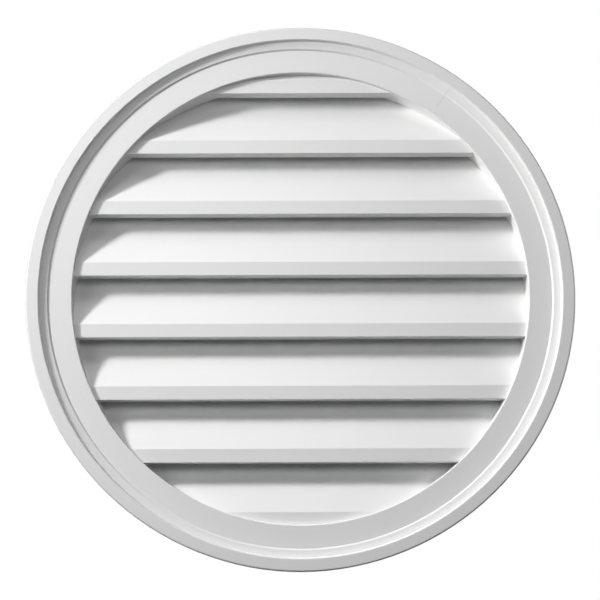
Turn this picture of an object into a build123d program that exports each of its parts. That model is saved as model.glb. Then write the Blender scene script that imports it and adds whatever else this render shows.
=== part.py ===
from build123d import *
import os
from math import floor, radians, tan

# Round louvred gable vent, a moulded frame and louvres in one piece with a wire screen at the back.
# Millimetres. The vent stands upright: its axis is Y, its front faces -Y, and the origin is the
# centre of the flat back face that lies on the wall.

# Frame, as a section turned about the axis, its bands measured inwards from the rim
rim_radius = 228.6
frame_depth = 41.3
rim_round = 1.6
rim_fall = 0.3
rim_band = 10.5
lip_round = 0.7
lip_wall_run = 1.2
lip_wall_drop = 3.15
cove_band = 6.9
cove_drop = 1.85
cove_hollow = 0.27
step_run = 1.4
step_drop = 1.4
step_round = 0.5
flat_band = 20.5
opening_round = 0.8
opening_taper = 1.2

# Louvres, as a section carried across the opening
louvre_pitch = 52.15
louvre_slope_degrees = 30.0
fascia_height = 11.4
fascia_setback = 4.5
top_reveal = 16.9
underside_depth = 15.0
louvre_round = 0.5
louvre_embed = 3.0
least_slot = 4.0

# Wire screen in a rebate at the back
rebate_depth = 2.2
screen_lap = 11.3
screen_clearance = 0.5
screen_rim_width = 12.0
wire_width = 1.0
wire_depth = 0.6
wire_cross_overlap = 0.2
mesh_pitch = 36.0
mesh_edge_share = 0.25
louvre_to_screen = 0.8

# Staples that hold the screen
staple_count = 16
staple_width = 10.0
staple_wire = 0.9
staple_leg = 8.0
staple_inset = 6.0
staple_turn_share = 0.5

# Radii and places along the axis, worked out from the sizes above
lip_radius = rim_radius - rim_band
cove_radius = lip_radius - cove_band
opening_radius = cove_radius - flat_band
screen_radius = opening_radius + screen_lap
lip_y = -frame_depth
flat_y = lip_y + lip_wall_drop + cove_drop + step_drop
fascia_y = flat_y + fascia_setback
rebate_y = -rebate_depth
louvre_back_y = rebate_y - louvre_to_screen
screen_depth = wire_depth + wire_depth - wire_cross_overlap
crown_y = rebate_y + screen_depth
slope_tangent = tan(radians(louvre_slope_degrees))


def frame_ring():
    """The frame's section from the back outer corner round to the opening, turned about Y."""
    rim_corner = (rim_radius, lip_y + rim_fall)
    lip_corner = (lip_radius, lip_y)
    cove_start = (lip_radius - lip_wall_run, lip_y + lip_wall_drop)
    cove_end = (cove_radius, cove_start[1] + cove_drop)
    cove_middle = ((cove_start[0] + cove_end[0]) / 2, (cove_start[1] + cove_end[1]) / 2 + cove_hollow)
    flat_outer = (cove_radius - step_run, flat_y)
    flat_inner = (opening_radius, flat_y)
    throat = (opening_radius - opening_taper, rebate_y)
    rebate_inner = (screen_radius + screen_clearance, rebate_y)
    rebate_outer = (screen_radius + screen_clearance, 0)
    back_outer = (rim_radius, 0)
    outline = (
        Polyline(back_outer, rim_corner, lip_corner, cove_start)
        + ThreePointArc(cove_start, cove_middle, cove_end)
        + Polyline(cove_end, flat_outer, flat_inner, throat, rebate_inner, rebate_outer, back_outer)
    )
    section = make_face(outline)
    rounds = (
        (rim_corner, rim_round),
        (lip_corner, lip_round),
        (cove_end, step_round),
        (flat_inner, opening_round),
    )
    for corner, radius in rounds:
        section = fillet(section.vertices().sort_by_distance(corner)[0], radius)
    return revolve(section, Axis.Y)


def louvre_heights():
    """Heights of the louvres' lower front edges, from the top one down to the last that shows."""
    top = opening_radius - top_reveal
    count = floor((top + fascia_height + opening_radius) / louvre_pitch) + 1
    return [top - louvre_pitch * number for number in range(count)]


def louvre(height):
    """One louvre: upright fascia, sloping face, upright back and level underside, ends in the frame."""
    back_run = louvre_back_y - fascia_y
    face_top = height + fascia_height + back_run / slope_tangent
    back_foot = height + (back_run - underside_depth) / slope_tangent
    buried = min(height, -opening_radius) - louvre_embed
    fascia_top = (fascia_y, height + fascia_height)
    underside_back = (fascia_y + underside_depth, height)
    back = [(louvre_back_y, face_top), (louvre_back_y, back_foot), underside_back]
    if height + opening_radius < least_slot:
        # The lowest louvre leaves no slot below it, so its foot is buried in the frame.
        foot = [(underside_back[0], buried), (fascia_y, buried)]
    else:
        foot = [(fascia_y, height)]
    section = make_face(Polyline(fascia_top, *back, *foot, close=True))
    soft = [fascia_top, *back] + ([] if len(foot) > 1 else foot)
    for corner in soft:
        section = fillet(section.vertices().sort_by_distance(corner)[0], louvre_round)
    bar = extrude(Plane.YZ * section, rim_radius, both=True)
    return bar & turned_disc(opening_radius + louvre_embed, -frame_depth, 0)


def turned_disc(radius, front_y, back_y):
    """A round plate on the vent's axis between two places along Y."""
    plate = Cylinder(radius, back_y - front_y, align=(Align.CENTER, Align.CENTER, Align.MIN))
    return Pos(0, front_y, 0) * (Rot(-90, 0, 0) * plate)


def wire_lines():
    """Places of the screen's wires on either side of the middle one, inside the rim."""
    clear = screen_radius - screen_rim_width - mesh_pitch * mesh_edge_share
    side = floor(clear / mesh_pitch)
    return [mesh_pitch * number for number in range(-side, side + 1)]


def insect_screen():
    """Crossing wires in two layers, trimmed to a round rim that lies in the rebate."""
    back_y = rebate_y + screen_depth
    disc = turned_disc(screen_radius, rebate_y, back_y)
    rim = disc - turned_disc(screen_radius - screen_rim_width, rebate_y, back_y)
    span = screen_radius + screen_radius
    level_wire = Box(span, wire_depth, wire_width)
    upright_wire = Box(wire_width, wire_depth, span)
    wires = []
    for place in wire_lines():
        wires.append(Pos(0, rebate_y + wire_depth / 2, place) * level_wire)
        wires.append(Pos(place, back_y - wire_depth / 2, 0) * upright_wire)
    cloth = Part() + wires
    return rim + (cloth & disc)


def staple():
    """One staple at the top of the rim: a crown across the screen and two legs into the frame."""
    height = screen_radius - staple_inset
    crown = Box(staple_width, staple_wire, staple_wire, align=(Align.CENTER, Align.MIN, Align.CENTER))
    leg = Box(staple_wire, staple_leg, staple_wire, align=(Align.CENTER, Align.MAX, Align.CENTER))
    leg_place = (staple_width - staple_wire) / 2
    body = crown + Pos(leg_place, 0, 0) * leg + Pos(-leg_place, 0, 0) * leg
    return Pos(0, crown_y, height) * body


def staples():
    """The staples round the rim, evenly spaced."""
    turn = 360 / staple_count
    return [Rot(0, turn * (number + staple_turn_share), 0) * staple() for number in range(staple_count)]


held = staples()
body = frame_ring() + [louvre(height) for height in louvre_heights()] - held
screen = insect_screen() - held

os.makedirs("parts", exist_ok=True)
export_step(body, "parts/vent_body.step")
export_step(screen, "parts/insect_screen.step")
export_step(Compound(children=held), "parts/screen_staples.step")
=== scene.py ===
import bpy
import numpy as np
from mathutils import Matrix, Vector


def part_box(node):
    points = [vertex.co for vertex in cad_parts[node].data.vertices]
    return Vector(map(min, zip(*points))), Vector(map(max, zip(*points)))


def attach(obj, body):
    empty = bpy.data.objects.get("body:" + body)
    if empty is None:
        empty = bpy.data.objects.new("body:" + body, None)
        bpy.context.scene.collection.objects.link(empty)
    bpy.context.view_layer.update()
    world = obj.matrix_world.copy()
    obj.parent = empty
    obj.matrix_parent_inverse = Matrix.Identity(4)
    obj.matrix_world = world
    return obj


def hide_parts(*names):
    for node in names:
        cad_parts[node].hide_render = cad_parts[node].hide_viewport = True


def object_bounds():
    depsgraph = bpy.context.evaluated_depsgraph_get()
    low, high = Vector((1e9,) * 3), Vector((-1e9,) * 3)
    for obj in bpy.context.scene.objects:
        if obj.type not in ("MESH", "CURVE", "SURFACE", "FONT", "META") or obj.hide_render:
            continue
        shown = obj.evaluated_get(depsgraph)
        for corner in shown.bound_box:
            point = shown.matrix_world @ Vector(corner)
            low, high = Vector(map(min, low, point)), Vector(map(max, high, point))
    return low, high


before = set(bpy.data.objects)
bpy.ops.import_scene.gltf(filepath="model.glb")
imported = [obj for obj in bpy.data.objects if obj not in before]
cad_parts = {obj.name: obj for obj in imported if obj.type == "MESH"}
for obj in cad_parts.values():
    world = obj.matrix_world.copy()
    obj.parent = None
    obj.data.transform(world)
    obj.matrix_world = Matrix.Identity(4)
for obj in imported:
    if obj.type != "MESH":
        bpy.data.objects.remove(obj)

# A white moulded gable vent, seen from the front and a little below, on plain white.
# Metres: the vent's axis is Y, its front faces -Y and its flat back lies at y = 0.
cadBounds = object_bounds()
mm = 0.001
inch = 25.4 * mm
pureWhite = (1.0, 1.0, 1.0, 1.0)
pureBlack = (0.0, 0.0, 0.0, 1.0)
noiseMiddle = 0.5    # a noise texture's average
print("frame loaded:", sorted(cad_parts))


class Signal:
    # one output socket; its operators add Math nodes, so a mask reads as a plain expression
    def __init__(self, nodes, socket):
        self.nodes = nodes
        self.socket = socket

    def math(self, operation, first, second=0.0):
        return self.nodes.add("Math", {"operation": operation}, {0: first, 1: second})

    def __add__(self, other):
        return self.math("ADD", self, other)

    def __radd__(self, other):
        return self.math("ADD", other, self)

    def __sub__(self, other):
        return self.math("SUBTRACT", self, other)

    def __rsub__(self, other):
        return self.math("SUBTRACT", other, self)

    def __mul__(self, other):
        return self.math("MULTIPLY", self, other)

    def __rmul__(self, other):
        return self.math("MULTIPLY", other, self)

    def __abs__(self):
        return self.math("ABSOLUTE", self)

    def orAlso(self, other):
        return self.math("MAXIMUM", self, other)

    def ramp(self, low, high):
        # 0 up to low, 1 from high on, smooth between
        sockets = {"Value": self, "From Min": low, "From Max": high}
        return self.nodes.add("MapRange", {"interpolation_type": "SMOOTHSTEP"}, sockets)


class Nodes:
    # the node tree of one material or world
    def __init__(self, owner):
        owner.use_nodes = True
        self.owner = owner
        self.tree = owner.node_tree
        self.tree.nodes.clear()

    def add(self, kind, settings=None, sockets=None, output=0):
        # kind is the node's type; settings are set first, then sockets take values or signals
        node = self.tree.nodes.new("ShaderNode" + kind)
        for key, value in (settings or {}).items():
            setattr(node, key, value)
        for key, value in (sockets or {}).items():
            if isinstance(value, Signal):
                self.tree.links.new(value.socket, node.inputs[key])
            else:
                node.inputs[key].default_value = value
        return Signal(self, node.outputs[output]) if node.outputs else None

    def place(self):
        # the point on the surface, in metres
        return self.add("TexCoord", output="Object")

    def parts(self, point):
        return [self.add("SeparateXYZ", sockets={0: point}, output=axis) for axis in "XYZ"]

    def noise(self, point, scale, detail=2.0):
        return self.add("TexNoise", sockets={"Vector": point, "Scale": scale, "Detail": detail})

    def cells(self, point, scale):
        return self.add("TexVoronoi", sockets={"Vector": point, "Scale": scale}, output="Distance")

    def blend(self, amount, first, second):
        return self.add("Mix", {"data_type": "RGBA"}, {0: amount, 6: first, 7: second}, output=2)

    def bump(self, height, distance, under=None):
        sockets = {"Height": height, "Distance": distance}
        if under is not None:
            sockets["Normal"] = under
        return self.add("Bump", sockets=sockets)

    def close(self, sockets):
        shader = self.add("BsdfPrincipled", sockets=sockets)
        self.add("OutputMaterial", sockets={"Surface": shader})
        return self.owner


def makeMesh(name, points, faces):
    # points is n by 3 in metres; each entry of faces is an array of vertex numbers, a face a row
    mesh = bpy.data.meshes.new(name)
    mesh.from_pydata(points.tolist(), [], [face for block in faces for face in block.tolist()])
    mesh.shade_smooth()
    mesh.update()
    piece = bpy.data.objects.new(name, mesh)
    bpy.context.scene.collection.objects.link(piece)
    return piece


# Vent body: satin white paint on the front and sides of a rigid foam moulding, bare at the back
ventPaint = {
    "white": (0.848, 0.850, 0.847, 1.0),
    "whiteCloud": (0.834, 0.836, 0.833, 1.0),
    "bareFoam": (0.74, 0.70, 0.60, 1.0),
    "foamDark": (0.62, 0.57, 0.46, 1.0),
    "hairlineGrey": (0.695, 0.70, 0.695, 1.0),
    "specular": 0.35,
    "roughness": 0.45,
    "roughnessSpread": 0.08,
    "foamRoughness": 0.75,
    "cloudScale": 9.0,
    "cloudDetail": 3.0,
    "stippleScale": 650.0,
    "stippleDepth": 0.018 * mm,
    "waveScale": 24.0,
    "waveDetail": 1.0,
    "waveDepth": 0.12 * mm,
    "foamScale": 35.0,
    "foamDetail": 4.0,
    "foamPatch": (0.35, 0.75),
    "poreScale": 420.0,
    "poreEdge": (0.05, 0.35),
    "poreDepth": 0.25 * mm,
    "bareEdge": (-1.4 * mm, -0.4 * mm),
    "mistScale": 60.0,
    "mistDetail": 3.0,
    "mistReach": 1.2 * mm,
    "hairlineTurn": np.radians(35.8),
    "hairlineReach": (199.0 * mm, 217.0 * mm),
    "hairlineWidth": (0.12 * mm, 0.42 * mm),
    "hairlineDepth": 0.05 * mm,
    "frontEdge": (-34.6 * mm, -33.6 * mm),
}


def paintedFoam():
    look = ventPaint
    paint = Nodes(bpy.data.materials.new("satinWhitePaint"))
    point = paint.place()
    x, y, z = paint.parts(point)
    cloud = paint.noise(point, look["cloudScale"], look["cloudDetail"])
    colour = paint.blend(cloud, look["white"], look["whiteCloud"])
    # a faint radial hairline in the paint, from the middle of the flat band out to the lip
    turn = look["hairlineTurn"]
    along = x * np.sin(turn) + z * np.cos(turn)
    aside = abs(x * np.cos(turn) - z * np.sin(turn))
    nearest, farthest = look["hairlineReach"]
    hairline = (1 - aside.ramp(*look["hairlineWidth"])) * along.ramp(nearest - mm, nearest)
    hairline = hairline * (1 - along.ramp(farthest, farthest + mm)) * (1 - y.ramp(*look["frontEdge"]))
    colour = paint.blend(hairline, colour, look["hairlineGrey"])
    # bare foam at the back: creamy, cloudy and finely pored, with paint mist at its edges
    mist = (paint.noise(point, look["mistScale"], look["mistDetail"]) - noiseMiddle) * look["mistReach"]
    bare = (y + mist).ramp(*look["bareEdge"])
    foamCloud = paint.noise(point, look["foamScale"], look["foamDetail"]).ramp(*look["foamPatch"])
    foam = paint.blend(foamCloud, look["bareFoam"], look["foamDark"])
    colour = paint.blend(bare, colour, foam)
    satin = look["roughness"] + (cloud - noiseMiddle) * look["roughnessSpread"]
    rough = satin + bare * (look["foamRoughness"] - look["roughness"])
    pores = paint.cells(point, look["poreScale"]).ramp(*look["poreEdge"]) * bare
    # slow waves, then fine stipple, the hairline's groove and the pores, each over the one before
    wave = paint.bump(paint.noise(point, look["waveScale"], look["waveDetail"]), look["waveDepth"])
    stipple = paint.bump(paint.noise(point, look["stippleScale"]), look["stippleDepth"], wave)
    scored = paint.bump(1 - hairline, look["hairlineDepth"], stipple)
    pitted = paint.bump(pores, look["poreDepth"], scored)
    return paint.close({
        "Base Color": colour,
        "Roughness": rough,
        "Normal": pitted,
        "Specular IOR Level": look["specular"],
    })


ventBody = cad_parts["vent_body"]
ventBody.data.materials.clear()
ventBody.data.materials.append(paintedFoam())
print("vent body painted:", len(ventBody.data.polygons), "triangles")

# Zinc on steel wire, for the cloth and the staples
zincCoat = {
    "patchScale": 180.0,
    "patchDetail": 3.0,
    "patchEdge": (0.35, 0.65),
    "dullRoughness": 0.18,
    "grainScale": 2500.0,
    "grainDepth": 0.02 * mm,
}


def galvanised(name, look):
    # two greys in fine patches, the dull one rougher
    zinc = Nodes(bpy.data.materials.new(name))
    point = zinc.place()
    patch = zinc.noise(point, zincCoat["patchScale"], zincCoat["patchDetail"]).ramp(*zincCoat["patchEdge"])
    grain = zinc.noise(point, zincCoat["grainScale"])
    return zinc.close({
        "Base Color": zinc.blend(patch, look["bright"], look["dull"]),
        "Metallic": 1.0,
        "Roughness": look["roughness"] + patch * zincCoat["dullRoughness"],
        "Normal": zinc.bump(grain, zincCoat["grainDepth"]),
    })


# Wire cloth: plain-woven hardware cloth cut to a round, in the rebate at the back
wireCloth = {
    "pitch": inch / 8,    # eight meshes to the inch
    "wireRadius": 0.25 * mm,
    "crimp": 0.2 * mm,
    "sides": 3,
    "bright": (0.56, 0.57, 0.58, 1.0),
    "dull": (0.40, 0.41, 0.42, 1.0),
    "roughness": 0.38,
}


def wovenWires(along, across, lift):
    # Wires run along one axis, a pitch apart on the other. Station m of wire k lies at m pitches, cut off
    # at the round edge, and stands before or behind the middle, turn about: lift * crimp * (-1) ** (k + m).
    # A small ring of points round each station is joined to the next ring, and the two ends are closed.
    look = wireCloth
    low, high = (np.array(corner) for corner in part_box("insect_screen"))
    middle = (low + high) / 2
    edge = (high[0] - low[0]) / 2 - look["wireRadius"]
    count = int(edge / look["pitch"])
    numbers = np.arange(-count, count + 1)
    wire, station = np.meshgrid(numbers, np.arange(-count - 1, count + 2), indexing="ij")
    chord = np.sqrt(edge ** 2 - (wire * look["pitch"]) ** 2)
    used = (np.abs(station) - 1) * look["pitch"] < chord
    run = np.sign(station) * np.minimum(np.abs(station) * look["pitch"], chord)
    weave = lift * look["crimp"] * (-1.0) ** (wire + station)
    angles = np.linspace(0, 2 * np.pi, look["sides"], endpoint=False) + np.pi / 2
    aside = look["wireRadius"] * np.cos(angles)
    points = np.zeros(used.shape + (look["sides"], 3))
    points[..., along] = middle[along] + run[..., None]
    points[..., across] = middle[across] + wire[..., None] * look["pitch"] + aside
    points[..., 1] = middle[1] + weave[..., None] + look["wireRadius"] * np.sin(angles)
    number = np.cumsum(used.ravel()).reshape(used.shape) - 1
    ring = number[..., None] * look["sides"] + np.arange(look["sides"])
    joined = used[:, :-1] & used[:, 1:]
    near, far = ring[:, :-1][joined], ring[:, 1:][joined]
    sides = np.stack([near, np.roll(near, -1, 1), np.roll(far, -1, 1), far], axis=-1).reshape(-1, 4)
    rows = np.arange(len(numbers))
    first = ring[rows, used.argmax(axis=1)][:, ::-1]
    last = ring[rows, used.shape[1] - 1 - used[:, ::-1].argmax(axis=1)]
    faces = [sides, first, last]
    if along == 0:
        faces = [face[:, ::-1] for face in faces]    # so that both sets of wires face outwards
    return points[used].reshape(-1, 3), faces


levelPoints, levelFaces = wovenWires(0, 2, 1)
uprightPoints, uprightFaces = wovenWires(2, 0, -1)
clothFaces = levelFaces + [face + len(levelPoints) for face in uprightFaces]
cloth = makeMesh("wire_cloth", np.vstack([levelPoints, uprightPoints]), clothFaces)
cloth.data.materials.append(galvanised("clothZinc", wireCloth))
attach(cloth, "root")
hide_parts("insect_screen")
print("wire cloth woven:", len(cloth.data.polygons), "faces")

# Staples: round wire bent to a U, driven through the cloth's edge all round
stapleWire = {
    "count": 16,
    "crown": 10.0 * mm,
    "wireRadius": 0.45 * mm,
    "bend": 1.2 * mm,
    "inset": 6.0 * mm,
    "bendSteps": 7,
    "sides": 10,
    "bright": (0.62, 0.63, 0.64, 1.0),
    "dull": (0.48, 0.49, 0.50, 1.0),
    "roughness": 0.3,
}


def stapleWires():
    # A circle is carried along a U: leg, quarter turn, crown, quarter turn, leg. The U lies in the plane
    # of the rim's tangent and the axis, and is turned about the axis to each place round the rim.
    look = stapleWire
    low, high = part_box("screen_staples")
    clothLow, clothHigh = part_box("insect_screen")
    half = look["crown"] / 2 - look["wireRadius"]
    top = high[1] - look["wireRadius"]
    foot = low[1]
    turn = np.linspace(0, np.pi / 2, look["bendSteps"])
    bendAcross = half - look["bend"] + look["bend"] * np.cos(turn)
    bendDepth = top - look["bend"] + look["bend"] * np.sin(turn)
    lean = np.concatenate([[0.0], turn])
    across = np.concatenate([[half], bendAcross])
    depth = np.concatenate([[foot], bendDepth])
    across = np.concatenate([across, -across[::-1]])
    depth = np.concatenate([depth, depth[::-1]])
    lean = np.concatenate([lean, np.pi - lean[::-1]])
    angles = np.linspace(0, 2 * np.pi, look["sides"], endpoint=False)
    outward = look["wireRadius"] * np.cos(angles)
    tangent = across[:, None] + np.cos(lean)[:, None] * outward
    axial = depth[:, None] + np.sin(lean)[:, None] * outward
    radial = (clothHigh[0] - look["inset"]) + look["wireRadius"] * np.sin(angles) + 0 * tangent
    places = 2 * np.pi * (np.arange(look["count"]) + 0.5) / look["count"]    # halfway between even marks
    sine, cosine = np.sin(places)[:, None, None], np.cos(places)[:, None, None]
    rightward = radial * sine + tangent * cosine
    upward = radial * cosine - tangent * sine
    points = np.stack([rightward, axial + 0 * sine, upward], axis=-1)
    ring = np.arange(points[..., 0].size).reshape(points.shape[:3])
    near, far = ring[:, :-1], ring[:, 1:]
    sides = np.stack([near, far, np.roll(far, -1, 2), np.roll(near, -1, 2)], axis=-1).reshape(-1, 4)
    return points.reshape(-1, 3), [sides, ring[:, 0], ring[:, -1, ::-1]]


staples = makeMesh("staple_wires", *stapleWires())
staples.data.materials.append(galvanised("stapleZinc", stapleWire))
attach(staples, "root")
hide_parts("screen_staples")
print("staples bent:", len(staples.data.polygons), "faces")

# Camera: a long lens below the vent's middle, looking up at it; angles in radians, frame in pixels
view = {
    "aimY": -34.9 * mm,
    "distance": 1.5703,
    "below": 0.1506,
    "turn": 0.0061,
    "roll": -0.0042,
    "focalPixels": 1884.07,
    "middlePixel": (300.6, 294.9),
    "imagePixels": 600,
    "sensor": 36.0,
}
ventFace = (0.0, view["aimY"], 0.0)


def placeCamera():
    # the vent's middle is to show at its own pixel, so the lens points a little to one side of it
    below, turn, roll = view["below"], view["turn"], view["roll"]
    forward = Vector((np.sin(turn) * np.cos(below), np.cos(turn) * np.cos(below), np.sin(below)))
    level = Vector((np.cos(turn), -np.sin(turn), 0.0))
    upright = level.cross(forward)
    right = level * np.cos(roll) + upright * np.sin(roll)
    up = upright * np.cos(roll) - level * np.sin(roll)
    offAcross = (view["imagePixels"] / 2 - view["middlePixel"][0]) / view["focalPixels"]
    offDown = (view["imagePixels"] / 2 - view["middlePixel"][1]) / view["focalPixels"]
    aim = (forward + right * offAcross - up * offDown).normalized()
    side = (right - aim * right.dot(aim)).normalized()
    lens = bpy.data.cameras.new("frontCamera")
    lens.sensor_width = view["sensor"]
    lens.lens = view["sensor"] * view["focalPixels"] / view["imagePixels"]
    camera = bpy.data.objects.new("frontCamera", lens)
    bpy.context.scene.collection.objects.link(camera)
    stance = Matrix((side, side.cross(aim), -aim)).transposed().to_4x4()
    spot = Vector(ventFace) - forward * view["distance"]
    camera.matrix_world = Matrix.Translation(spot) @ stance
    bpy.context.scene.camera = camera


# Lamps: places and sizes in metres, power in watts, spread in degrees.
# The key stands at the left and shines past the vent's front, which keeps the near rim from too much light.
frontLamps = {
    "keyLamp": {
        "at": (-0.684, -0.399, 0.342), "aim": (0.0, -0.823, 0.052),
        "size": 0.22, "power": 14.2, "spread": 149,
    },
    "topFill": {"at": (0.0, -1.035, 1.732), "aim": ventFace, "size": 1.0, "power": 6.5, "spread": 180},
    "frontFill": {"at": (0.0, -1.995, 0.382), "aim": ventFace, "size": 0.6, "power": 5.7, "spread": 180},
    "slantFill": {"at": (-1.273, -1.552, 0.278), "aim": ventFace, "size": 0.6, "power": 4.6, "spread": 180},
}
frontBounces = 12
# behind the vent: these light its back and edges, and nothing that bounces from there into the slots
backLamps = {
    "backFill": {"at": (0.30, 1.90, 0.30), "aim": ventFace, "size": 0.8, "power": 20.0, "spread": 180},
    "edgeFill": {"at": (1.85, 0.75, 0.25), "aim": ventFace, "size": 0.6, "power": 18.0, "spread": 180},
}
backBounces = 0


def placeLamps(group, bounces):
    for name, lamp in group.items():
        light = bpy.data.lights.new(name, "AREA")
        light.shape = "DISK"
        light.size = lamp["size"]
        light.energy = lamp["power"]
        light.spread = np.radians(lamp["spread"])
        light.cycles.max_bounces = bounces
        holder = bpy.data.objects.new(name, light)
        bpy.context.scene.collection.objects.link(holder)
        spot = Vector(lamp["at"])
        facing = (Vector(lamp["aim"]) - spot).to_track_quat("-Z", "Y").to_matrix().to_4x4()
        holder.matrix_world = Matrix.Translation(spot) @ facing


# Ground: a pale floor just under the rim that fades to white, and a world that is only seen, as white
ground = {
    "gap": 0.2 * mm,
    "half": 4.0,
    "shadeNear": (0.34, 0.34, 0.34, 1.0),
    "glowNear": (0.70, 0.70, 0.70, 1.0),
    "fade": (0.30, 1.30),
    "roughness": 0.9,
    "ambient": 0.0,
}


def paleFloor():
    # lit grey over a glow near the vent, so that its shadow shows; only white far off, and clear from below
    pale = Nodes(bpy.data.materials.new("paleFloor"))
    reach = pale.add("VectorMath", {"operation": "LENGTH"}, {0: pale.place()}, output="Value")
    away = reach.ramp(*ground["fade"])
    above = pale.add("BsdfPrincipled", sockets={
        "Base Color": pale.blend(away, ground["shadeNear"], pureBlack),
        "Emission Color": pale.blend(away, ground["glowNear"], pureWhite),
        "Emission Strength": 1.0,
        "Roughness": ground["roughness"],
        "Specular IOR Level": 0.0,
    })
    under = pale.add("BsdfTransparent")
    fromBelow = pale.add("NewGeometry", output="Backfacing")
    either = pale.add("MixShader", sockets={0: fromBelow, 1: above, 2: under})
    pale.add("OutputMaterial", sockets={"Surface": either})
    return pale.owner


def placeGround():
    half, height = ground["half"], cadBounds[0][2] - ground["gap"]
    front = [(-half, -half, height), (half, -half, height)]
    back = [(half, half, height), (-half, half, height)]
    floor = makeMesh("floor", np.array(front + back), [np.array([[0, 1, 2, 3]])])
    floor.data.materials.append(paleFloor())
    floor.visible_diffuse = False    # it throws no light back on the vent
    bpy.context.scene.world = bpy.data.worlds.new("whiteSurround")
    surround = Nodes(bpy.context.scene.world)
    seen = surround.add("LightPath", output="Is Camera Ray")
    for ray in ("Is Glossy Ray", "Is Transmission Ray"):
        seen = seen.orAlso(surround.add("LightPath", output=ray))
    dim = surround.add("Background", sockets={"Color": pureWhite, "Strength": ground["ambient"]})
    bright = surround.add("Background", sockets={"Color": pureWhite, "Strength": 1.0})
    either = surround.add("MixShader", sockets={0: seen, 1: dim, 2: bright})
    surround.add("OutputWorld", sockets={"Surface": either})


placeCamera()
placeLamps(frontLamps, frontBounces)
placeLamps(backLamps, backBounces)
placeGround()
bpy.context.scene.view_settings.view_transform = "Standard"
print("camera, lamps and ground placed")
